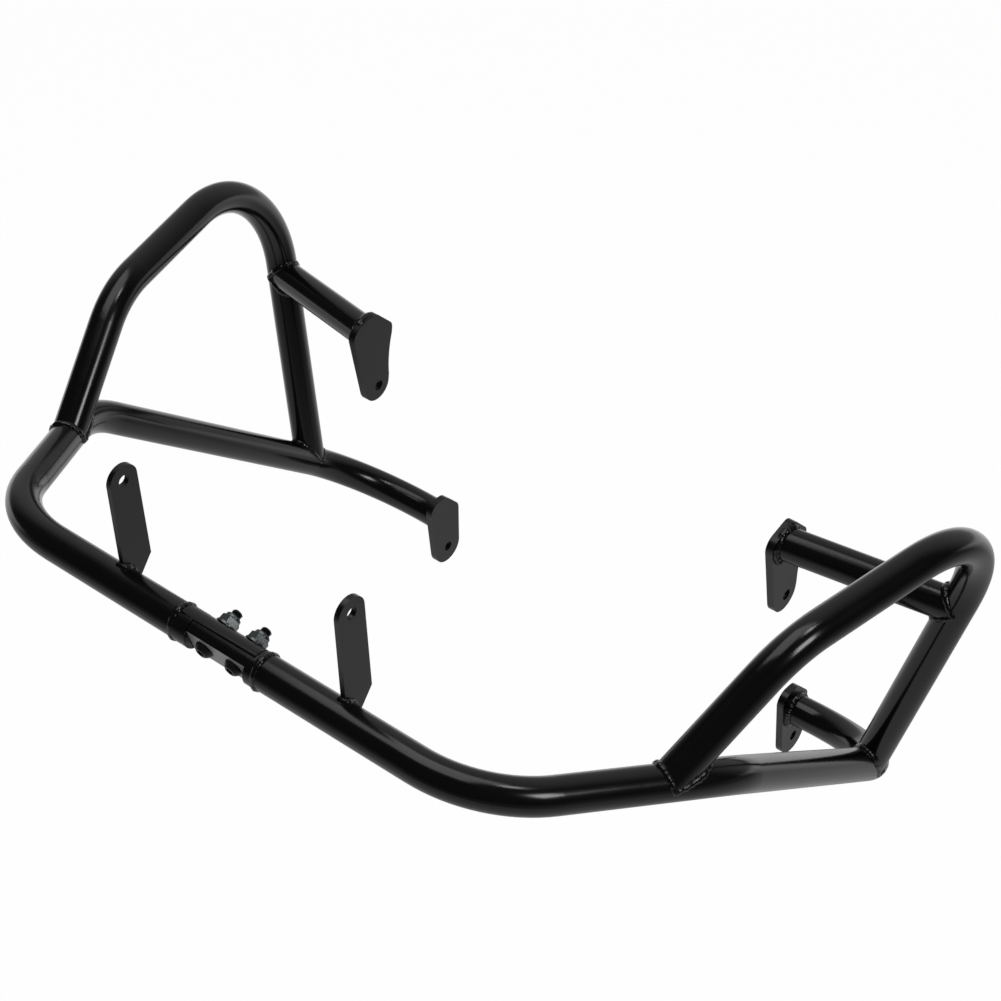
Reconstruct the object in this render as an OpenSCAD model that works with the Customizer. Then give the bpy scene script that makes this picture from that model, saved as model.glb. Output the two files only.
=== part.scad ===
// Motorcycle crash bars: two mirrored halves of bent round tube, each with a side loop,
// an upper stay, two mounting plates and a front tab, bolted together by a half-lap joint.
// Millimetres. X runs across the machine, with its left side at +X. Y runs to the rear, Z up.
// The origin is the middle of the bolted joint, on the crossbar's centre line.

/* [Tube] */
// Outside diameter of every tube
tube_d = 25.4; // [22:0.1:28]
// Wall of every tube
tube_wall = 2; // [1.5:0.1:3]
// Centre-line radius of the lower tube's bends
lower_bend_r = 84; // [70:1:90]
// Centre-line radius of the loop tube's bends
loop_bend_r = 80; // [60:1:90]
// How much slimmer a tube is where it is bent, on its radius
bend_thinning = 0.03; // [0.02:0.01:0.1]
// Root gap left for the weld where one tube is coped onto another
root_gap = 0.2; // [0.1:0.05:0.3]

/* [Lower tube] */
// From the middle of the crossbar to the corner where it turns back
corner_x = 211.5; // [195:0.5:225]
// How far out the elbow lies, where the tube turns down
elbow_x = 293; // [280:1:305]
// How far behind the crossbar the elbow lies
elbow_back = 145.5; // [135:0.5:160]
// How far below the crossbar the elbow lies
elbow_drop = 41.5; // [30:0.5:55]
// How far out the heel lies, where the tube turns in to its plate
heel_x = 276.5; // [272:0.5:290]
// How far behind the crossbar the heel lies
heel_back = 430; // [415:1:440]
// How far below the crossbar the heel lies
heel_drop = 275.5; // [260:0.5:285]

/* [Side loop] */
// From the crossbar's corner along the lower tube to the loop's front foot
front_foot = 127.5; // [115:0.5:140]
// How far out the loop's knee lies, where it levels out
knee_x = 300.5; // [292:0.5:312]
// How far behind the crossbar the knee lies
knee_back = 194.5; // [185:0.5:210]
// How far above the crossbar the knee lies
knee_rise = 38.5; // [30:0.5:48]
// How far out the loop's top rear corner lies
apex_x = 344; // [335:1:355]
// How far behind the crossbar the top rear corner lies
apex_back = 400.5; // [395:0.5:415]
// How far above the crossbar the top rear corner lies
apex_rise = 50; // [42:1:60]
// From the elbow down the lower tube to the loop's rear foot
rear_foot = 283.5; // [270:0.5:295]

/* [Upper stay] */
// From the loop's top rear corner down its rear leg to the stay
stay_foot = 109.5; // [105:0.5:130]

/* [Mounting plates] */
// Thickness of the mounting plates
plate_t = 6; // [4:0.5:8]
// Diameter of the fixing holes in plates and tabs
hole_d = 8.6; // [6.6:0.1:10.6]
// From the middle of the machine to the upper plate's outer face
upper_plate_x = 199; // [190:0.5:206]
// How far behind the crossbar the stay meets the upper plate
upper_mount_back = 353.5; // [348:0.5:360]
// How far below the crossbar the stay meets the upper plate
upper_mount_drop = 41.5; // [36:0.5:48]
// Upper plate's front corner, from the stay's centre: back, up and radius
upper_front = [-8.5, 2, 10]; // [-20:0.5:20]
// Upper plate's top corner, from the stay's centre: back, up and radius
upper_top = [5, 7.5, 8]; // [-20:0.5:20]
// Upper plate's rear corner, from the stay's centre: back, up and radius
upper_rear = [18, -6, 8]; // [-20:0.5:20]
// Upper plate's lower end, from the stay's centre: back, up and radius
upper_tip = [5.5, -53, 14]; // [-60:0.5:20]
// Upper plate's hole, from the stay's centre: back and up
upper_hole = [7.5, -54.5]; // [-60:0.5:20]
// How deep the upper plate's rear edge is waisted
upper_waist = 1.7; // [0.5:0.1:3]
// Share of the rear edge that the waist takes
waist_share = 0.8; // [0.5:0.05:0.9]
// From the middle of the machine to the lower plate's outer face
lower_plate_x = 183.5; // [176:0.5:186]
// How far behind the crossbar the tube meets the lower plate
lower_mount_back = 423; // [418:1:430]
// How far below the crossbar the tube meets the lower plate
lower_mount_drop = 272.5; // [262:0.5:280]
// Lower plate's front corner, from the tube's centre: back, up and radius
lower_front = [-10, 16, 10]; // [-20:0.5:20]
// Lower plate's top corner, from the tube's centre: back, up and radius
lower_top = [-3.5, 16.5, 9]; // [-20:0.5:20]
// Lower plate's rear corner, from the tube's centre: back, up and radius
lower_rear = [5.5, 4.5, 10.5]; // [-20:0.5:20]
// Lower plate's lower end, from the tube's centre: back, up and radius
lower_tip = [0.5, -31, 15.5]; // [-40:0.5:20]
// Lower plate's hole, from the tube's centre: back and up
lower_hole = [1, -31]; // [-40:0.5:20]

/* [Front tabs] */
// From the middle of the machine to the middle of a tab's thickness
tab_x = 98.5; // [85:0.5:110]
// Thickness of the tabs
tab_t = 4; // [3:0.5:6]
// Width of the tabs at their round end
tab_w = 23.5; // [20:0.5:28]
// Height of the tab's hole above the crossbar's centre line
tab_hole_rise = 80.5; // [70:0.5:95]
// How far the tab's hole lies behind the crossbar's centre line
tab_hole_back = 13.5; // [10:0.5:16]
// How far the tab's front edge lies behind the crossbar's centre line, at its foot
tab_front_back = 4; // [0:0.5:8]
// How far the tab's rear corner lies behind the crossbar's centre line
tab_corner_back = 28; // [24:0.5:32]
// Height of the tab's rear corner above the crossbar's centre line
tab_corner_rise = 9.5; // [6:0.5:20]
// Depth of the tab's slanting lower edge below its rear corner
tab_foot_drop = 17; // [12:1:20]
// How far the slanting edge runs forward over that depth
tab_foot_run = 13.5; // [8:0.5:16]

/* [Centre joint] */
// How far left of the machine's middle the middle of the joint lies
joint_left = 0.9; // [0:0.1:2]
// Diameter of the two solid lugs
lug_d = 26; // [25.5:0.1:28]
// Length of the left lug's full round part, from the lap to the tube's end
left_shoulder = 4.5; // [3:0.5:20]
// Length of the right lug's full round part, from the lap to the tube's end
right_shoulder = 11.5; // [3:0.5:20]
// Length of the lap beyond the milled flat, at each end
lap_margin = 3.5; // [3:0.5:8]
// Gap between the front tongue's tip and the other lug's shoulder
front_tip_gap = 4.5; // [0.5:0.1:5]
// Gap between the rear tongue's tip and the other lug's shoulder
rear_tip_gap = 0.8; // [0.5:0.1:4]
// Chamfer along the tongues' meeting edges
lap_chamfer = 0.5; // [0.3:0.1:0.8]
// Turn of the lap about the crossbar, the bolts pointing up to the rear
joint_tilt = 15; // [0:1:25]
// Distance from the lap's plane to the milled flat under the bolt heads
front_flat = 8; // [7:0.5:9]
// Length of the milled flats beyond the washers, nuts and heads
flat_clear = 4.5; // [0.5:0.1:6]
// Distance from the lap's plane to the milled flat under the washers
rear_flat = 11.2; // [9:0.1:12.4]
// Length of each lug's spigot inside its tube
spigot_len = 22; // [12:1:35]
// Clearance of the spigot in the tube, all round
spigot_gap = 0.15; // [0.1:0.05:0.25]

/* [Joint fasteners] */
// Distance between the two bolts
bolt_pitch = 26; // [24:1:28]
// Diameter of the bolts
bolt_d = 8; // [6:0.5:8]
// Length of the bolts under the head
bolt_len = 35; // [30:1:40]
// Length of the bolts' chamfered tip
bolt_tip = 1; // [0.5:0.1:1.5]
// Clearance of a bolt in its hole, all round
bolt_gap = 0.2; // [0.1:0.05:0.4]
// Diameter of the button heads
head_d = 14; // [13:0.5:15]
// Height of the button heads
head_h = 4.4; // [4:0.1:5]
// Diameter of the button heads' flat top
head_top_d = 8; // [7:0.5:9]
// Width across flats of the head's hexagon socket
socket_af = 5; // [4:0.5:5]
// Depth of the head's hexagon socket
socket_depth = 2.6; // [2:0.1:3]
// Diameter of the washers
washer_d = 16; // [15:0.5:20]
// Thickness of the washers
washer_t = 1.6; // [1.2:0.1:2]
// Width across flats of the nuts
nut_af = 12.7; // [12:0.1:14]
// Height of the nuts' hexagon
nut_hex_h = 6.7; // [5:0.1:8]
// Height of the bevels on the nuts' corners
nut_bevel = 0.6; // [0.3:0.1:0.8]
// Diameter of the round collar on the nuts' end, which holds the locking ring
collar_d = 11.4; // [10:0.1:12.4]
// Height of the collar above the hexagon
collar_h = 3; // [2:0.1:4]
// Bevel of the collar's edge
collar_bevel = 0.8; // [0.3:0.1:1]

/* [Hidden] */
$fn = 96;
coat = [0.10, 0.10, 0.11];
plated = [0.62, 0.64, 0.66];
left = 1;
right = -1;
// Cuts run this far past the faces that they open
over = 1;
// A bend reaches this far into the straights beside it
bend_lap = 1;

function unit(v) = v / norm(v);
function across(d) = unit(cross(d, abs(d[2]) < 0.9 ? [0, 0, 1] : [1, 0, 0]));
function axes_at(p, x, y, z) = [
    [x[0], y[0], z[0], p[0]],
    [x[1], y[1], z[1], p[1]],
    [x[2], y[2], z[2], p[2]],
    [0, 0, 0, 1]
];
// Angle that a run turns through at its point i
function turn(p, i) = acos(unit(p[i] - p[i - 1]) * unit(p[i + 1] - p[i]));
// Length that the bend at point i takes from the straights beside it
function setback(p, i, r) = i == 0 || i == len(p) - 1 ? 0 : r * tan(turn(p, i) / 2);

// Half lengths of the milled flats and of the lap
nut_round = nut_af / cos(30);
flat_half = bolt_pitch / 2 + max(head_d, washer_d, nut_round) / 2 + flat_clear;
lap_half = flat_half + lap_margin;

// Corners of the left half's centre lines
corner = [corner_x, 0, 0];
elbow = [elbow_x, elbow_back, -elbow_drop];
heel = [heel_x, heel_back, -heel_drop];
lower_mount = [lower_plate_x, lower_mount_back, -lower_mount_drop];
loop_front = corner + front_foot * unit(elbow - corner);
knee = [knee_x, knee_back, knee_rise];
apex = [apex_x, apex_back, apex_rise];
loop_rear = elbow + rear_foot * unit(heel - elbow);
stay_root = apex + stay_foot * unit(loop_rear - apex);
upper_mount = [upper_plate_x, upper_mount_back, -upper_mount_drop];
loop_run = [loop_front, knee, apex, loop_rear];
stay_run = [stay_root, upper_mount];

// Where each tube ends at its lug, from the machine's middle
function tube_end(side) =
    lap_half + (side == left ? left_shoulder + joint_left : right_shoulder - joint_left);
function lower_run(side) = [[tube_end(side), 0, 0], corner, elbow, heel, lower_mount];

tube_id = tube_d - 2 * tube_wall;
cope_d = tube_d + 2 * root_gap;
bolt_hole_d = bolt_d + 2 * bolt_gap;

module on_side(side) {
    if (side == left) children();
    else mirror([1, 0, 0]) children();
}

module straight(a, b, d) {
    z = unit(b - a);
    x = across(z);
    multmatrix(axes_at(a, x, cross(z, x), z)) cylinder(d = d, h = norm(b - a));
}

// The bend at point i of the run p, a shade slimmer than the straights that it runs into
module bend(p, i, r, d) {
    ahead = unit(p[i] - p[i - 1]);
    leaving = unit(p[i + 1] - p[i]);
    inward = unit(leaving - (leaving * ahead) * ahead);
    centre = p[i] - setback(p, i, r) * ahead + r * inward;
    lap = asin(bend_lap / r);
    multmatrix(axes_at(centre, -inward, ahead, cross(-inward, ahead)))
        rotate([0, 0, -lap])
            rotate_extrude(angle = turn(p, i) + 2 * lap)
                translate([r, 0]) circle(d = d - 2 * bend_thinning);
}

// A solid round bar along the corners p, bent to radius r at each
module bent_bar(p, r, d) {
    for (i = [0 : len(p) - 2]) {
        along = unit(p[i + 1] - p[i]);
        straight(p[i] + setback(p, i, r) * along, p[i + 1] - setback(p, i + 1, r) * along, d);
    }
    for (i = [1 : 1 : len(p) - 2]) bend(p, i, r, d);
}

// The same run with its first and last points moved out by the given lengths
function lengthened(p, first, last) = [
    for (i = [0 : len(p) - 1])
        i == 0 ? p[0] - first * unit(p[1] - p[0])
        : i == len(p) - 1 ? p[i] + last * unit(p[i] - p[i - 1])
        : p[i]
];

// The space inside a tube along p, open at both ends
module bore_of(p, r) {
    bent_bar(lengthened(p, over, over), r, tube_id);
}

// Everything inboard of a plate's outer face, round the point where a tube meets it
module inboard_of(face_x, p) {
    translate([face_x - 2 * tube_d, p[1] - 2 * tube_d, p[2] - 2 * tube_d])
        cube([2 * tube_d, 4 * tube_d, 4 * tube_d]);
}

module lower_tube(side) {
    run = lengthened(lower_run(side), 0, tube_d);
    color(coat) on_side(side) difference() {
        bent_bar(run, lower_bend_r, tube_d);
        bore_of(run, lower_bend_r);
        inboard_of(lower_plate_x, lower_mount);
    }
}

module loop_tube(side) {
    color(coat) on_side(side) difference() {
        bent_bar(loop_run, loop_bend_r, tube_d);
        bore_of(loop_run, loop_bend_r);
        bent_bar(lower_run(side), lower_bend_r, cope_d);
    }
}

module upper_stay(side) {
    run = lengthened(stay_run, 0, tube_d);
    color(coat) on_side(side) difference() {
        bent_bar(run, loop_bend_r, tube_d);
        bore_of(run, loop_bend_r);
        bent_bar(loop_run, loop_bend_r, cope_d);
        inboard_of(upper_plate_x, upper_mount);
    }
}

// Places an outline drawn in Y and Z as a plate whose outer face is at face_x
module upright(face_x, p, t) {
    translate([face_x - t, p[1], p[2]]) rotate([90, 0, 90]) children();
}

module disc(centre, d, t) {
    translate([centre[0], centre[1], 0]) cylinder(d = d, h = t);
}

module drilled(centre, d, t) {
    translate([centre[0], centre[1], -over]) cylinder(d = d, h = t + 2 * over);
}

// Outward normal of the straight edge that touches the round corners a and b
function edge_normal(a, b) =
    let (
        run = [b[0] - a[0], b[1] - a[1]],
        facing = atan2(run[1], run[0]) - acos((a[2] - b[2]) / norm(run))
    )
    [cos(facing), sin(facing)];

// The point on the round corner c that faces along the normal n
function on_round(c, n) = [c[0], c[1]] + c[2] * n;

// A plate with the given round corners, each a centre and a radius, listed counterclockwise
module rounded_plate(corners, t) {
    last = len(corners) - 1;
    normals = [for (i = [0 : last]) edge_normal(corners[i], corners[i == last ? 0 : i + 1])];
    for (c = corners) disc(c, 2 * c[2], t);
    linear_extrude(height = t) polygon([
        for (i = [0 : last], end = [0, 1])
            on_round(corners[i + end > last ? 0 : i + end], normals[i])
    ]);
}

// Cuts a shallow arc of the given depth out of the straight edge from corner a to corner b
module waist(a, b, depth, t) {
    n = edge_normal(a, b);
    start = on_round(a, n);
    end = on_round(b, n);
    half_arc = waist_share * norm(end - start) / 2;
    arc_r = (half_arc * half_arc + depth * depth) / (2 * depth);
    drilled((start + end) / 2 + (arc_r - depth) * n, 2 * arc_r, t, $fn = 180);
}

module upper_plate(side) {
    color(coat) on_side(side) upright(upper_plate_x, upper_mount, plate_t) difference() {
        union() rounded_plate([upper_tip, upper_rear, upper_top, upper_front], plate_t);
        waist(upper_tip, upper_rear, upper_waist, plate_t);
        drilled(upper_hole, hole_d, plate_t);
    }
}

module lower_plate(side) {
    color(coat) on_side(side) upright(lower_plate_x, lower_mount, plate_t) difference() {
        union() rounded_plate([lower_tip, lower_rear, lower_top, lower_front], plate_t);
        drilled(lower_hole, hole_d, plate_t);
    }
}

module front_tab(side) {
    hole_at = [tab_hole_back, tab_hole_rise];
    color(coat) on_side(side) upright(tab_x + tab_t / 2, [0, 0, 0], tab_t) difference() {
        union() {
            disc(hole_at, tab_w, tab_t);
            linear_extrude(height = tab_t) polygon([
                [tab_front_back, 0],
                [tab_hole_back - tab_w / 2, tab_hole_rise],
                [tab_hole_back + tab_w / 2, tab_hole_rise],
                [tab_corner_back, tab_corner_rise],
                [tab_corner_back - tab_foot_run, tab_corner_rise - tab_foot_drop]
            ]);
        }
        drilled([0, 0], cope_d, tab_t);
        drilled(hole_at, hole_d, tab_t);
    }
}

// The joint's own frame, whose Y lies along the bolts
module in_joint() {
    translate([joint_left, 0, 0]) rotate([joint_tilt, 0, 0]) children();
}

// A solid bar along X, between two places on it
module bar_x(from, to, d) {
    translate([from, 0, 0]) rotate([0, 90, 0]) cylinder(d = d, h = to - from);
}

// What is cut away behind the lap's plane, with the chamfers of the two meeting edges
module lap_cut() {
    translate([-lap_half - over, 0, 0]) rotate([90, 0, 90])
        linear_extrude(height = 2 * lap_half + over) {
            translate([0, -lug_d]) square([lug_d, 2 * lug_d]);
            for (s = [-1, 1])
                translate([0, s * lug_d / 2]) rotate(45) square(lap_chamfer * sqrt(2), center = true);
        }
}

module bolt_holes() {
    for (s = [-1, 1])
        translate([s * bolt_pitch / 2, lug_d, 0]) rotate([90, 0, 0])
            cylinder(d = bolt_hole_d, h = 2 * lug_d);
}

// What is milled away in front of a flat at the given depth
module flat_cut(from, to, depth) {
    translate([from, -depth - lug_d, -lug_d]) cube([to - from, lug_d, 2 * lug_d]);
}

// One lug, drawn with its tube at +X and its tongue to the front. The milled flat lies
// at the given depth from the lap's plane.
module joint_lug(shoulder, tip_gap, depth) {
    difference() {
        union() {
            bar_x(tip_gap - lap_half, lap_half + shoulder, lug_d);
            bar_x(lap_half, lap_half + shoulder + spigot_len, tube_id - 2 * spigot_gap);
        }
        lap_cut();
        bolt_holes();
        flat_cut(-lap_half - over, flat_half, depth);
    }
}

module joint_bolt(side) {
    cap_r = head_d / 2;
    top_r = head_top_d / 2;
    sink = (cap_r * cap_r - top_r * top_r - head_h * head_h) / (2 * head_h);
    dome_r = norm([cap_r, sink]);
    color(coat) in_joint() translate([side * bolt_pitch / 2, -front_flat, 0]) rotate([-90, 0, 0]) {
        cylinder(d = bolt_d, h = bolt_len - bolt_tip);
        translate([0, 0, bolt_len - bolt_tip])
            cylinder(d1 = bolt_d, d2 = bolt_d - 2 * bolt_tip, h = bolt_tip);
        difference() {
            intersection() {
                translate([0, 0, sink]) sphere(r = dome_r);
                translate([0, 0, -head_h]) cylinder(d = head_d + over, h = head_h);
            }
            translate([0, 0, -head_h - over])
                cylinder(d = socket_af / cos(30), h = socket_depth + over, $fn = 6);
        }
    }
}

// Places a part on the rear flat, turned to stand along a bolt
module on_rear_flat(side, lift) {
    in_joint() translate([side * bolt_pitch / 2, rear_flat + lift, 0]) rotate([-90, 0, 0]) children();
}

module joint_washer(side) {
    color(plated) on_rear_flat(side, 0) difference() {
        cylinder(d = washer_d, h = washer_t);
        drilled([0, 0], bolt_hole_d, washer_t);
    }
}

// The space inside the bevels on both ends of the hexagon
module bevelled(d, h, bevel) {
    slope = tan(30);
    narrow = d - 2 * bevel / slope;
    intersection() {
        cylinder(d1 = narrow, d2 = narrow + 2 * h / slope, h = h);
        cylinder(d1 = narrow + 2 * h / slope, d2 = narrow, h = h);
    }
}

module lock_nut(side) {
    color(plated) on_rear_flat(side, washer_t) difference() {
        union() {
            intersection() {
                rotate([0, 0, 30]) cylinder(d = nut_round, h = nut_hex_h, $fn = 6);
                bevelled(nut_round, nut_hex_h, nut_bevel);
            }
            translate([0, 0, nut_hex_h - over])
                cylinder(d = collar_d, h = collar_h - collar_bevel + over);
            translate([0, 0, nut_hex_h + collar_h - collar_bevel])
                cylinder(d1 = collar_d, d2 = collar_d - 2 * collar_bevel, h = collar_bevel);
        }
        drilled([0, 0], bolt_hole_d, nut_hex_h + collar_h);
    }
}

lower_tube(left);  // lower_tube_left
lower_tube(right);  // lower_tube_right
loop_tube(left);  // loop_tube_left
loop_tube(right);  // loop_tube_right
upper_stay(left);  // upper_stay_left
upper_stay(right);  // upper_stay_right
upper_plate(left);  // upper_plate_left
upper_plate(right);  // upper_plate_right
lower_plate(left);  // lower_plate_left
lower_plate(right);  // lower_plate_right
front_tab(left);  // front_tab_left
front_tab(right);  // front_tab_right
color(coat) in_joint() joint_lug(left_shoulder, front_tip_gap, front_flat);  // joint_lug_left
color(coat) in_joint() rotate([0, 0, 180]) joint_lug(right_shoulder, rear_tip_gap, rear_flat);  // joint_lug_right
joint_bolt(left);  // joint_bolt_left
joint_bolt(right);  // joint_bolt_right
joint_washer(left);  // joint_washer_left
joint_washer(right);  // joint_washer_right
lock_nut(left);  // lock_nut_left
lock_nut(right);  // lock_nut_right
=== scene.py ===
import math
import random

import bmesh
import bpy
from mathutils import Matrix, Vector
from mathutils.bvhtree import BVHTree


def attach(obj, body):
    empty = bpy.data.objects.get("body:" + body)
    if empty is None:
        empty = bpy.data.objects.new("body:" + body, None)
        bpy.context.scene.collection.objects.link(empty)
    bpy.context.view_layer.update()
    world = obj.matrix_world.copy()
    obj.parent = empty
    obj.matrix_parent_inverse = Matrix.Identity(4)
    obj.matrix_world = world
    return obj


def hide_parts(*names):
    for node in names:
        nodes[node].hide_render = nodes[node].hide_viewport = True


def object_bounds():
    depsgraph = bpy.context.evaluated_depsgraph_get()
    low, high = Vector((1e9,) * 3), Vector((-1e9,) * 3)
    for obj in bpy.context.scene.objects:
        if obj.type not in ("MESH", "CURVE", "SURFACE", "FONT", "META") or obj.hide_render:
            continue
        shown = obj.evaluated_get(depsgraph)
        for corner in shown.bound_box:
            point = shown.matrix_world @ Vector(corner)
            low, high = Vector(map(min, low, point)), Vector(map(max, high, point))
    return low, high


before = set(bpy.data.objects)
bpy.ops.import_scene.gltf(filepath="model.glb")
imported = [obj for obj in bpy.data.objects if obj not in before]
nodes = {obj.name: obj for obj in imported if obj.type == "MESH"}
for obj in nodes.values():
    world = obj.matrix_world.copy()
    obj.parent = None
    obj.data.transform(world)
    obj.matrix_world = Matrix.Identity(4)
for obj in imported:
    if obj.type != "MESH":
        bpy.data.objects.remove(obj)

cad_low, cad_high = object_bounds()
bpy.ops.object.select_all(action="DESELECT")

# Camera
# The photograph looks down on the bars from in front and from the machine's left, through a
# long lens that stands about a metre and a half away.
camera_at = Vector((0.80201, -0.70609, 1.02383))
camera_turn = math.radians(39.158)
camera_dip = math.radians(40.462)
camera_lens = 82.064
bpy.ops.object.camera_add(location=camera_at, rotation=(math.pi / 2 - camera_dip, 0, camera_turn))
camera = bpy.context.object
camera.name = "camera"
camera.data.sensor_width = 36
camera.data.lens = camera_lens
camera.data.clip_start = 0.05
camera.data.clip_end = 50
camera.select_set(False)
bpy.context.scene.camera = camera
bpy.context.scene.view_settings.view_transform = "Standard"

# Studio floor
# A white table under the bars. The camera sees it white, with a trace of the bars' soft shadow.
# The gloss sees a lit table that fades outwards, and a bright sweep that rises behind the bars.
floor_drop = 0.25
floor_size = 12
floor_colour = (0.9, 0.9, 0.9, 1)
floor_roughness = 0.9
floor_glow = 0.96
lit_table_glow = 0.55
lit_table_r = 0.4
table_edge_glow = 0.12
table_edge_r = 2.2
sweep_way = Vector((-0.63, 0.78, 0))
sweep_foot = 0.5
sweep_top = 1.3
sweep_glow = 0.85
bpy.ops.mesh.primitive_plane_add(size=floor_size, location=(0, 0, cad_low.z - floor_drop))
floor = bpy.context.object
floor.name = "studio_floor"
floor_white = bpy.data.materials.new("studio_floor_white")
floor_white.use_nodes = True
floor_nodes = floor_white.node_tree.nodes
floor_shader = floor_nodes["Principled BSDF"]
floor_shader.inputs["Base Color"].default_value = floor_colour
floor_shader.inputs["Roughness"].default_value = floor_roughness
floor_shader.inputs["Specular IOR Level"].default_value = 0.0
floor_out = floor_nodes["Material Output"]
floor_paths = floor_nodes.new("ShaderNodeLightPath")
floor_where = floor_nodes.new("ShaderNodeTexCoord")
floor_reach = floor_nodes.new("ShaderNodeVectorMath")
floor_reach.operation = "LENGTH"
floor_fade = floor_nodes.new("ShaderNodeMapRange")
floor_fade.inputs["From Min"].default_value = lit_table_r
floor_fade.inputs["From Max"].default_value = table_edge_r
floor_fade.inputs["To Min"].default_value = lit_table_glow
floor_fade.inputs["To Max"].default_value = table_edge_glow
floor_behind = floor_nodes.new("ShaderNodeVectorMath")
floor_behind.operation = "DOT_PRODUCT"
floor_behind.inputs[1].default_value = sweep_way
floor_rise = floor_nodes.new("ShaderNodeMapRange")
floor_rise.inputs["From Min"].default_value = sweep_foot
floor_rise.inputs["From Max"].default_value = sweep_top
floor_rise.inputs["To Min"].default_value = 0
floor_rise.inputs["To Max"].default_value = sweep_glow
floor_sum = floor_nodes.new("ShaderNodeMath")
floor_sum.operation = "ADD"
floor_gloss = floor_nodes.new("ShaderNodeEmission")
floor_inner = floor_nodes.new("ShaderNodeMixShader")
floor_seen = floor_nodes.new("ShaderNodeMath")
floor_seen.operation = "MAXIMUM"
floor_share = floor_nodes.new("ShaderNodeMath")
floor_share.operation = "MULTIPLY"
floor_share.inputs[1].default_value = floor_glow
floor_light = floor_nodes.new("ShaderNodeEmission")
floor_light.inputs["Strength"].default_value = 1.0
floor_mix = floor_nodes.new("ShaderNodeMixShader")
for source, target in (
        (floor_where.outputs["Object"], floor_reach.inputs[0]),
        (floor_reach.outputs["Value"], floor_fade.inputs["Value"]),
        (floor_where.outputs["Object"], floor_behind.inputs[0]),
        (floor_behind.outputs["Value"], floor_rise.inputs["Value"]),
        (floor_fade.outputs["Result"], floor_sum.inputs[0]),
        (floor_rise.outputs["Result"], floor_sum.inputs[1]),
        (floor_sum.outputs[0], floor_gloss.inputs["Strength"]),
        (floor_paths.outputs["Is Glossy Ray"], floor_inner.inputs[0]),
        (floor_shader.outputs[0], floor_inner.inputs[1]),
        (floor_gloss.outputs[0], floor_inner.inputs[2]),
        (floor_paths.outputs["Is Camera Ray"], floor_seen.inputs[0]),
        (floor_paths.outputs["Is Transmission Ray"], floor_seen.inputs[1]),
        (floor_seen.outputs[0], floor_share.inputs[0]),
        (floor_share.outputs[0], floor_mix.inputs[0]),
        (floor_inner.outputs[0], floor_mix.inputs[1]),
        (floor_light.outputs[0], floor_mix.inputs[2]),
        (floor_mix.outputs[0], floor_out.inputs["Surface"])):
    floor_white.node_tree.links.new(source, target)
floor.data.materials.append(floor_white)
floor.select_set(False)

# Studio room
# White to the camera and pale to matt surfaces. The gloss sees it nearly dark, apart from a lit
# part that lies behind the bars and to the machine's right.
dark_side = Vector((0.416, -0.892, -0.174)).normalized()
dark_side_glow = 0.04
dark_side_from = -0.25
bright_side_glow = 0.5
bright_side_to = -0.85
room_light = 0.75
world = bpy.data.worlds.new("studio")
bpy.context.scene.world = world
world.use_nodes = True
world.cycles.sampling_method = "NONE"
room_nodes = world.node_tree.nodes
room_nodes.clear()
room_out = room_nodes.new("ShaderNodeOutputWorld")
room_paths = room_nodes.new("ShaderNodeLightPath")
room_way = room_nodes.new("ShaderNodeTexCoord")
room_turn = room_nodes.new("ShaderNodeVectorMath")
room_turn.operation = "DOT_PRODUCT"
room_turn.inputs[1].default_value = dark_side
room_fade = room_nodes.new("ShaderNodeMapRange")
room_fade.interpolation_type = "SMOOTHSTEP"
room_fade.inputs["From Min"].default_value = bright_side_to
room_fade.inputs["From Max"].default_value = dark_side_from
room_fade.inputs["To Min"].default_value = bright_side_glow
room_fade.inputs["To Max"].default_value = dark_side_glow
room_gloss = room_nodes.new("ShaderNodeBackground")
room_matt = room_nodes.new("ShaderNodeBackground")
room_matt.inputs["Strength"].default_value = room_light
room_white = room_nodes.new("ShaderNodeBackground")
room_white.inputs["Strength"].default_value = 1.0
room_seen = room_nodes.new("ShaderNodeMath")
room_seen.operation = "MAXIMUM"
room_inner = room_nodes.new("ShaderNodeMixShader")
room_mix = room_nodes.new("ShaderNodeMixShader")
for source, target in (
        (room_way.outputs["Generated"], room_turn.inputs[0]),
        (room_turn.outputs["Value"], room_fade.inputs["Value"]),
        (room_fade.outputs["Result"], room_gloss.inputs["Strength"]),
        (room_paths.outputs["Is Glossy Ray"], room_inner.inputs[0]),
        (room_matt.outputs[0], room_inner.inputs[1]),
        (room_gloss.outputs[0], room_inner.inputs[2]),
        (room_paths.outputs["Is Camera Ray"], room_seen.inputs[0]),
        (room_paths.outputs["Is Transmission Ray"], room_seen.inputs[1]),
        (room_seen.outputs[0], room_mix.inputs[0]),
        (room_inner.outputs[0], room_mix.inputs[1]),
        (room_white.outputs[0], room_mix.inputs[2]),
        (room_mix.outputs[0], room_out.inputs["Surface"])):
    world.node_tree.links.new(source, target)


# Lamps
# A large softbox overhead, whose soft streak runs along the tops of the tubes, and two small
# bright ones, on the machine's left and above its left rear, that show in the bends.
def softbox(name, at, aim, wide, tall, glow):
    bpy.ops.object.light_add(type="AREA", location=at)
    lamp = bpy.context.object
    lamp.name = name
    lamp.data.shape = "RECTANGLE"
    lamp.data.size = wide
    lamp.data.size_y = tall
    lamp.data.energy = glow * math.pi * wide * tall
    lamp.visible_camera = False
    lamp.rotation_mode = "QUATERNION"
    lamp.rotation_quaternion = (Vector(aim) - Vector(at)).to_track_quat("-Z", "Y")
    lamp.select_set(False)


softbox("overhead_softbox", at=(-0.35, 0.18, 1.9), aim=(0, 0.2, 0),
        wide=1.5, tall=1.45, glow=1.6)
softbox("left_softbox", at=(1.9, 0.1, 1.33), aim=(0.1, 0.2, 0),
        wide=0.65, tall=0.65, glow=8.5)
softbox("rear_softbox", at=(0.6, 0.55, 1.9), aim=(0.1, 0.2, 0),
        wide=0.34, tall=0.34, glow=7)

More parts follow.
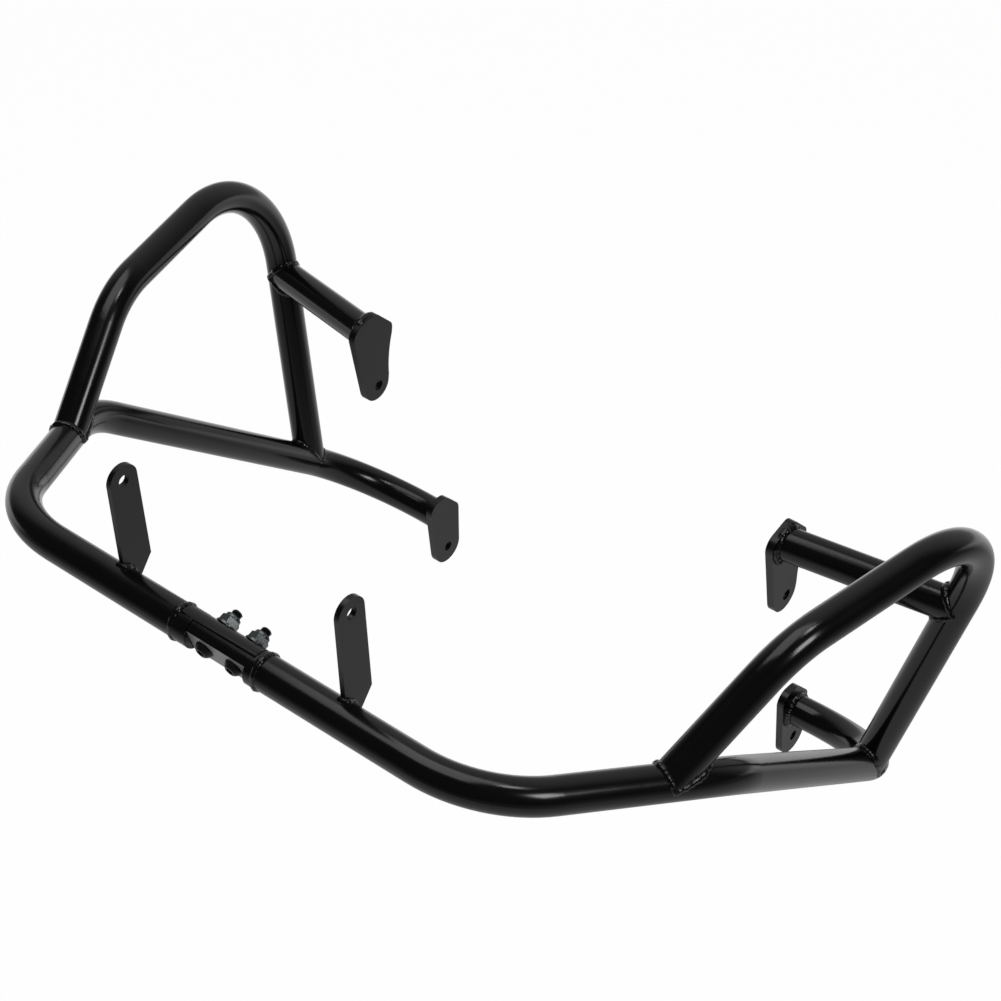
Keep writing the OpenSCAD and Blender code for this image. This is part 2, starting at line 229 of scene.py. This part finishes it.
# Bent tubes
# Bent and welded steel tube under a gloss black powder coat: nearly black, with a fine orange
# peel that softens the reflections, and a slight change of gloss from place to place.
orange_peel = bpy.data.node_groups.new("orange_peel", "ShaderNodeTree")
for socket in ("Fine scale", "Broad scale", "Roughness low", "Roughness high"):
    orange_peel.interface.new_socket(socket, in_out="INPUT", socket_type="NodeSocketFloat")
for socket in ("Height", "Roughness", "Broad"):
    orange_peel.interface.new_socket(socket, in_out="OUTPUT", socket_type="NodeSocketFloat")
peel_given = orange_peel.nodes.new("NodeGroupInput")
peel_result = orange_peel.nodes.new("NodeGroupOutput")
peel_where = orange_peel.nodes.new("ShaderNodeTexCoord")
fine_peel = orange_peel.nodes.new("ShaderNodeTexNoise")
fine_peel.inputs["Detail"].default_value = 2
broad_drift = orange_peel.nodes.new("ShaderNodeTexNoise")
broad_drift.inputs["Detail"].default_value = 3
gloss_spread = orange_peel.nodes.new("ShaderNodeMapRange")
gloss_spread.inputs["From Min"].default_value = 0.35
gloss_spread.inputs["From Max"].default_value = 0.65
for source, target in (
        (peel_where.outputs["Object"], fine_peel.inputs["Vector"]),
        (peel_where.outputs["Object"], broad_drift.inputs["Vector"]),
        (peel_given.outputs["Fine scale"], fine_peel.inputs["Scale"]),
        (peel_given.outputs["Broad scale"], broad_drift.inputs["Scale"]),
        (broad_drift.outputs["Fac"], gloss_spread.inputs["Value"]),
        (peel_given.outputs["Roughness low"], gloss_spread.inputs["To Min"]),
        (peel_given.outputs["Roughness high"], gloss_spread.inputs["To Max"]),
        (fine_peel.outputs["Fac"], peel_result.inputs["Height"]),
        (gloss_spread.outputs["Result"], peel_result.inputs["Roughness"]),
        (broad_drift.outputs["Fac"], peel_result.inputs["Broad"])):
    orange_peel.links.new(source, target)

coat_ior = 1.5
drift_scale = 14
colour_swing = 0.2


def finished_steel(name, colour, rough, peel_depth, peel_scale):
    material = bpy.data.materials.new(name)
    material.use_nodes = True
    tree = material.node_tree
    shader = tree.nodes["Principled BSDF"]
    shader.inputs["IOR"].default_value = coat_ior
    peel = tree.nodes.new("ShaderNodeGroup")
    peel.node_tree = orange_peel
    peel.inputs["Fine scale"].default_value = peel_scale
    peel.inputs["Broad scale"].default_value = drift_scale
    peel.inputs["Roughness low"].default_value = rough[0]
    peel.inputs["Roughness high"].default_value = rough[1]
    bump = tree.nodes.new("ShaderNodeBump")
    bump.inputs["Strength"].default_value = 1
    bump.inputs["Distance"].default_value = peel_depth
    shade = tree.nodes.new("ShaderNodeMix")
    shade.data_type = "RGBA"
    shade.inputs["A"].default_value = (*[c * (1 - colour_swing) for c in colour], 1)
    shade.inputs["B"].default_value = (*[c * (1 + colour_swing) for c in colour], 1)
    tree.links.new(peel.outputs["Broad"], shade.inputs["Factor"])
    tree.links.new(shade.outputs["Result"], shader.inputs["Base Color"])
    tree.links.new(peel.outputs["Height"], bump.inputs["Height"])
    tree.links.new(bump.outputs["Normal"], shader.inputs["Normal"])
    tree.links.new(peel.outputs["Roughness"], shader.inputs["Roughness"])
    return material


def paint(node, material):
    mesh = nodes[node].data
    mesh.materials.clear()
    mesh.materials.append(material)


coat_black = (0.0022, 0.0022, 0.0024)
gloss_coat = finished_steel("gloss_powder_coat", coat_black, rough=(0.15, 0.21),
                            peel_depth=0.00001, peel_scale=900)
for side in ("left", "right"):
    paint(f"lower_tube_{side}", gloss_coat)
    paint(f"loop_tube_{side}", gloss_coat)
    paint(f"upper_stay_{side}", gloss_coat)

# Mounting plates and front tabs
# Laser-cut steel plate under the same powder coat, which lies a little rougher on flat faces. The
# plates are welded to the ends of their tubes and the tabs astride the crossbar, and each has
# one hole for a bolt.
flat_coat = finished_steel("plate_powder_coat", coat_black, rough=(0.3, 0.38),
                           peel_depth=0.00001, peel_scale=900)
for side in ("left", "right"):
    paint(f"upper_plate_{side}", flat_coat)
    paint(f"lower_plate_{side}", flat_coat)
    paint(f"front_tab_{side}", flat_coat)

# Weld beads at the tubes' feet and plates
# Every tube's foot and every plate is joined by a hand-laid bead of weld under the same coat: a
# lumpy ripple a few millimetres wide that follows the seam all the way round.
tube_r = 0.0127
bead_step = 0.0011
seam_stretch = 1.15
bead_steps = round(2 * math.pi * tube_r * seam_stretch / bead_step)
seam_reach = 0.03
bead_swell = 0.09
bead_drift = 0.12
drift_start = 1
bead_flush = 0.42
bead_beat = 0.4
beat_turn = math.pi / 2
bead_sunk = (-0.1, -0.02)
bead_ripple = 0.2
ripple_size = 0.0034
weld_coat = finished_steel("weld_powder_coat", coat_black, rough=(0.16, 0.26),
                           peel_depth=0.00025, peel_scale=520)
corner = Vector((0.2115, 0, 0))
elbow = Vector((0.293, 0.1455, -0.0415))
heel = Vector((0.2765, 0.43, -0.2755))
knee = Vector((0.3005, 0.1945, 0.0385))
apex = Vector((0.344, 0.4005, 0.05))
lower_mount = Vector((0.1835, 0.423, -0.2725))
upper_mount = Vector((0.199, 0.3535, -0.0415))
front_foot = 0.1275
rear_foot = 0.2835
stay_foot = 0.1095
loop_front = corner + front_foot * (elbow - corner).normalized()
loop_rear = elbow + rear_foot * (heel - elbow).normalized()
stay_root = apex + stay_foot * (loop_rear - apex).normalized()


def on_side(point, side):
    return Vector((-point.x, point.y, point.z)) if side == "right" else point


# Each point of a seam is a place, the surface's way out, the tube's way out and a fill. The
# place is where a line along the side of the tube, which comes from away, meets the surface.
def seam_round(node, foot, away):
    mesh = nodes[node].data
    surface = BVHTree.FromPolygons([v.co.copy() for v in mesh.vertices],
                                   [p.vertices[:] for p in mesh.polygons])
    along = (foot - away).normalized()
    side_a = along.orthogonal().normalized()
    side_b = along.cross(side_a)
    seam = []
    for i in range(bead_steps):
        angle = 2 * math.pi * i / bead_steps
        out = math.cos(angle) * side_a + math.sin(angle) * side_b
        start = foot + tube_r * out - along * seam_reach
        place, normal, _, _ = surface.ray_cast(start, along, 2 * seam_reach)
        if place is None:
            place, normal, _, _ = surface.find_nearest(foot + tube_r * out)
        seam.append((place, normal, out, 1 + bead_drift * math.sin(angle + drift_start)))
    return seam


def weld_bead(name, seam, width, swell, seed, ripple_share):
    draw = random.Random(seed)
    curve = bpy.data.curves.new(name, "CURVE")
    curve.dimensions = "3D"
    curve.bevel_depth = width / 2
    curve.bevel_resolution = 3
    spline = curve.splines.new("POLY")
    spline.use_cyclic_u = True
    spline.points.add(len(seam) - 1)
    for i, (place, normal, out, fill) in enumerate(seam):
        lean = (normal + out).normalized()
        flush = 1 - bead_flush * max(0, normal.dot(out))
        lump = fill * flush * (1 + bead_beat * swell * math.sin(i * beat_turn)
                               + draw.uniform(-swell, swell))
        middle = place + lean * width * draw.uniform(*bead_sunk)
        spline.points[i].co = (*middle, 1)
        spline.points[i].radius = lump
    bead = bpy.data.objects.new(name, curve)
    bpy.context.scene.collection.objects.link(bead)
    bpy.context.view_layer.objects.active = bead
    bead.select_set(True)
    bpy.ops.object.convert(target="MESH")
    bead = bpy.context.object
    lumps = bpy.data.textures.new(name + "_lumps", "CLOUDS")
    lumps.noise_scale = ripple_size
    ripple = bead.modifiers.new("lumps", "DISPLACE")
    ripple.texture = lumps
    ripple.strength = width * ripple_share
    ripple.mid_level = 0.5
    bpy.ops.object.modifier_apply(modifier="lumps")
    for v in bead.data.vertices:
        v.co.y = min(max(v.co.y, cad_low.y), cad_high.y)
    bpy.ops.object.shade_smooth()
    bead.data.materials.clear()
    bead.data.materials.append(weld_coat)
    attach(bead, "root")
    bead.select_set(False)


for side in ("left", "right"):
    for place_name, onto, foot, away, width, seed in (
            ("loop_front", "lower_tube", loop_front, knee, 0.0084, 11),
            ("loop_rear", "lower_tube", loop_rear, apex, 0.0062, 12),
            ("stay", "loop_tube", stay_root, upper_mount, 0.0074, 13),
            ("upper_plate", "upper_plate", upper_mount, stay_root, 0.007, 14),
            ("lower_plate", "lower_plate", lower_mount, heel, 0.007, 15)):
        foot_seam = seam_round(f"{onto}_{side}", on_side(foot, side), on_side(away, side))
        weld_bead(f"{place_name}_weld_{side}", foot_seam, width, bead_swell, seed, bead_ripple)

# Weld beads on the front tabs
# The tabs' feet straddle the crossbar and are welded to it all round. The bead runs down one
# face and back up the other, with the most weld in front, where it was started.
tab_faces = (0.0965, 0.1005)
tab_seam_from = math.radians(73)
tab_seam_to = math.radians(-35)
tab_turns = 20
tab_bead_width = 0.0046
tab_bead_swell = 0.12
tab_pile = 0.5
tab_pile_spread = 0.35
for side in ("left", "right"):
    tab_seam = []
    for face, start, end, outward in ((tab_faces[1], tab_seam_from, tab_seam_to, 1),
                                      (tab_faces[0], tab_seam_to, tab_seam_from, -1)):
        for i in range(tab_turns + 1):
            angle = start + (end - start) * i / tab_turns
            radial = Vector((0, math.cos(angle), math.sin(angle)))
            place = on_side(Vector((face, 0, 0)) + tube_r * radial, side)
            fill = 1 + tab_pile * math.exp(-(((angle - tab_seam_from) / tab_pile_spread) ** 2))
            tab_seam.append((place, radial, on_side(Vector((outward, 0, 0)), side), fill))
    weld_bead(f"tab_weld_{side}", tab_seam, tab_bead_width, tab_bead_swell, 16, bead_ripple)

# Weld beads on the joint lugs
# Each lug is welded to the end of its tube by a narrow ring of bead, which is piled higher over
# the top than elsewhere.
lug_seam_x = {"left": 0.0344, "right": -0.0396}
lug_seam_r = 0.0121
lug_bead_width = 0.0046
lug_bead_swell = 0.05
lug_bead_ripple = 0.14
lug_pile = 0.4
lug_pile_at = math.radians(105)
lug_pile_spread = 0.5
for side in ("left", "right"):
    lug_seam = []
    for i in range(bead_steps):
        angle = 2 * math.pi * i / bead_steps
        radial = Vector((0, math.cos(angle), math.sin(angle)))
        place = Vector((lug_seam_x[side], 0, 0)) + lug_seam_r * radial
        fill = 1 + lug_pile * math.exp(-(((angle - lug_pile_at) / lug_pile_spread) ** 2))
        lug_seam.append((place, radial, Vector((0, 0, 0)), fill))
    weld_bead(f"lug_weld_{side}", lug_seam, lug_bead_width, lug_bead_swell, 17, lug_bead_ripple)

# Joint lugs
# Steel bar turned to the tubes' size, milled to a half lap and cross-drilled. The front tongue
# ends close to the other lug's step. The flat milled for the bolt heads is real, but its lighter
# grey colour is painted sheen, standing in for the light that the flat catches.
joint_left = 0.0009
joint_tilt = math.radians(15)
joint_frame = Matrix.Translation((joint_left, 0, 0)) @ Matrix.Rotation(joint_tilt, 4, "X")
tongue_tip_x = -0.0236
tongue_growth = -0.0014
step_x = -0.0281
step_growth = 0.0022
end_face_slack = 0.0001
front_flat = 0.008
flat_slack = 0.0002
flat_facing = 0.99
merge_within = 0.000002
lug_smooth_within = math.radians(25)
flat_out = joint_frame.to_3x3() @ Vector((0, -1, 0))
# Painted sheen: a lighter grey in place of the black coat, for the light the milled flat catches.
painted_sheen_flat = finished_steel("painted_sheen_flat", (0.18, 0.18, 0.185), rough=(0.3, 0.4),
                              peel_depth=0.00001, peel_scale=1200)
for side, end_x, growth in (("left", tongue_tip_x, tongue_growth), ("right", step_x, step_growth)):
    lug = bpy.data.objects.new(f"lap_lug_{side}", nodes[f"joint_lug_{side}"].data.copy())
    bpy.context.scene.collection.objects.link(lug)
    bpy.context.view_layer.objects.active = lug
    lug.select_set(True)
    lug.data.materials.clear()
    lug.data.materials.append(gloss_coat)
    lug.data.materials.append(painted_sheen_flat)
    bpy.ops.object.mode_set(mode="EDIT")
    bpy.ops.mesh.select_all(action="SELECT")
    bpy.ops.mesh.remove_doubles(threshold=merge_within)
    bpy.ops.mesh.select_all(action="DESELECT")
    lug_mesh = bmesh.from_edit_mesh(lug.data)
    for v in lug_mesh.verts:
        v.select = abs(v.co.x - end_x) < end_face_slack
    lug_mesh.select_flush(True)
    bmesh.update_edit_mesh(lug.data)
    bpy.ops.transform.translate(value=(growth, 0, 0))
    bpy.ops.object.mode_set(mode="OBJECT")
    # The faces of the milled front flat take the painted sheen.
    for face in lug.data.polygons:
        lies_out = (face.center - joint_frame.translation).dot(flat_out)
        if face.normal.dot(flat_out) > flat_facing and abs(lies_out - front_flat) < flat_slack:
            face.material_index = 1
    bpy.ops.object.shade_smooth_by_angle(angle=lug_smooth_within)
    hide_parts(f"joint_lug_{side}")
    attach(lug, "root")
    lug.select_set(False)


# Joint bolts
# Black M8 socket button-head bolts, with a domed head in front and a rolled thread behind. A
# turned piece is drawn up ring by ring, each ring a height and a radius or a rule for it.
def hexagon(across_flats, most=1.0):
    def radius(angle):
        off = (angle + math.pi / 6) % (math.pi / 3) - math.pi / 6
        return min(across_flats / 2 / math.cos(off), most)
    return radius


turned_smooth_within = math.radians(32)


def turned(name, outline, segments, frame_at, closed_ring=False):
    fill = "NOTHING" if closed_ring else "NGON"
    bpy.ops.mesh.primitive_circle_add(vertices=segments, radius=1, fill_type=fill)
    piece = bpy.context.object
    piece.name = name
    piece.data.name = name
    bpy.ops.object.mode_set(mode="EDIT")
    for step, (height, rule) in enumerate(outline):
        if step:
            bpy.ops.mesh.extrude_region_move()
        ring = bmesh.from_edit_mesh(piece.data)
        for v in [v for v in ring.verts if v.select]:
            angle = math.atan2(v.co.y, v.co.x)
            radius = rule(angle) if callable(rule) else rule
            v.co = (radius * math.cos(angle), radius * math.sin(angle), height)
        bmesh.update_edit_mesh(piece.data)
    bpy.ops.mesh.select_all(action="SELECT")
    bpy.ops.mesh.remove_doubles(threshold=merge_within)
    bpy.ops.mesh.normals_make_consistent(inside=False)
    bpy.ops.object.mode_set(mode="OBJECT")
    piece.matrix_world = frame_at
    bpy.ops.object.transform_apply(location=True, rotation=True, scale=True)
    bpy.ops.object.shade_smooth_by_angle(angle=turned_smooth_within)
    return piece


bolt_pitch = 0.026
bolt_r = 0.0039
bolt_reach = 0.0333
bolt_sides = 48
head_r = 0.007
head_h = 0.0044
head_top_r = 0.004
dome_rings = 8
rim_round = 0.0001
seat_round = 0.0003
socket_af = 0.005
socket_mouth_af = 0.0056
socket_mouth = 0.0002
socket_depth = 0.0026
thread_from = 0.0185
thread_pitch = 0.00125
thread_depth = 0.0007
thread_cuts = 8
tip_plain = 0.0008
tip_chamfer = 0.0004
tip_inset = 0.001


def thread_ring(height):
    def radius(angle):
        turn_share = (height / thread_pitch - angle / (2 * math.pi)) % 1
        return bolt_r - thread_depth * (1 - abs(2 * turn_share - 1))
    return radius


dome_sink = (head_r ** 2 - head_top_r ** 2 - head_h ** 2) / (2 * head_h)
dome_r = math.hypot(head_r, dome_sink)
bolt_outline = [(socket_depth - head_h, hexagon(socket_af)),
                (socket_mouth - head_h, hexagon(socket_af)),
                (-head_h, hexagon(socket_mouth_af)),
                (-head_h, head_top_r)]
for i in range(1, dome_rings + 1):
    height = -head_h * (1 - i / (dome_rings + 0.5))
    bolt_outline.append((height, math.sqrt(dome_r ** 2 - (height - dome_sink) ** 2)))
bolt_outline += [(-rim_round, head_r - rim_round), (0, head_r - seat_round), (0, bolt_r),
                 (thread_from, bolt_r)]
thread_rings = round((bolt_reach - tip_plain - thread_from) / thread_pitch * thread_cuts)
for i in range(1, thread_rings + 1):
    height = thread_from + i * thread_pitch / thread_cuts
    bolt_outline.append((height, thread_ring(height)))
bolt_outline += [(bolt_reach - tip_chamfer, bolt_r - thread_depth),
                 (bolt_reach, bolt_r - tip_inset)]
black_bolt = finished_steel("black_oxide_bolt", (0.006, 0.006, 0.006), rough=(0.25, 0.35),
                            peel_depth=0.00001, peel_scale=1200)
black_bolt.node_tree.nodes["Principled BSDF"].inputs["Specular IOR Level"].default_value = 0.25
along_bolt = Matrix.Rotation(math.radians(-90), 4, "X")
for side, way in (("left", 1), ("right", -1)):
    at_head = joint_frame @ Matrix.Translation((way * bolt_pitch / 2, -front_flat, 0)) @ along_bolt
    bolt = turned(f"button_head_bolt_{side}", bolt_outline, bolt_sides, at_head)
    bolt.data.materials.append(black_bolt)
    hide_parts(f"joint_bolt_{side}")
    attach(bolt, "root")
    bolt.select_set(False)

# Joint washers
# Plain round steel washers, one under each nut. They are zinc-plated, and the plating has gone
# a little dull.
zinc = finished_steel("zinc_plate", (0.135, 0.148, 0.15), rough=(0.32, 0.4),
                      peel_depth=0.0000006, peel_scale=1500)
zinc.node_tree.nodes["Principled BSDF"].inputs["Metallic"].default_value = 1
washer_top = 0.0128
paint("joint_washer_left", zinc)
paint("joint_washer_right", zinc)

# Lock nuts
# Zinc-plated hexagon nuts, bevelled at both ends, with a crimped round collar that holds the
# locking ring. Each was left turned to its own angle.
nut_af = 0.0127
nut_hex_h = 0.0055
nut_bevel = 0.0006
nut_bevel_steps = 4
nut_bore_r = 0.0040
nut_sides = 96
nut_corner_r = nut_af / 2 / math.cos(math.pi / 6)
bevel_run = nut_bevel / math.tan(math.pi / 6)
collar_r = 0.0057
collar_h = 0.0028
collar_foot = 0.0002
collar_foot_low = 0.0001
collar_foot_high = 0.0004
collar_round = 0.0012
collar_round_steps = 6
bore_mouth = 0.0002
bore_mouth_drop = 0.0003
nut_outline = [(0, nut_bore_r)]
for i in range(nut_bevel_steps + 1):
    nut_outline.append((nut_bevel * i / nut_bevel_steps,
                        hexagon(nut_af, nut_corner_r - bevel_run * (1 - i / nut_bevel_steps))))
for i in range(nut_bevel_steps + 1):
    nut_outline.append((nut_hex_h - nut_bevel * (1 - i / nut_bevel_steps),
                        hexagon(nut_af, nut_corner_r - bevel_run * i / nut_bevel_steps)))
nut_outline += [(nut_hex_h + collar_foot_low, collar_r + collar_foot),
                (nut_hex_h + collar_foot_high, collar_r)]
for i in range(collar_round_steps + 1):
    bend_at = math.pi / 2 * i / collar_round_steps
    nut_outline.append((nut_hex_h + collar_h - collar_round * (1 - math.sin(bend_at)),
                        collar_r - collar_round * (1 - math.cos(bend_at))))
nut_outline += [(nut_hex_h + collar_h - bore_mouth_drop, nut_bore_r + bore_mouth),
                (nut_hex_h + collar_h - collar_round, nut_bore_r), (0, nut_bore_r)]
for side, way, nut_turn in (("left", 1, 13), ("right", -1, 17)):
    at_washer = (joint_frame @ Matrix.Translation((way * bolt_pitch / 2, washer_top, 0))
                 @ along_bolt @ Matrix.Rotation(math.radians(nut_turn), 4, "Z"))
    nut = turned(f"collar_nut_{side}", nut_outline, nut_sides, at_washer, closed_ring=True)
    nut.data.materials.append(zinc)
    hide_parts(f"lock_nut_{side}")
    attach(nut, "root")
    nut.select_set(False)
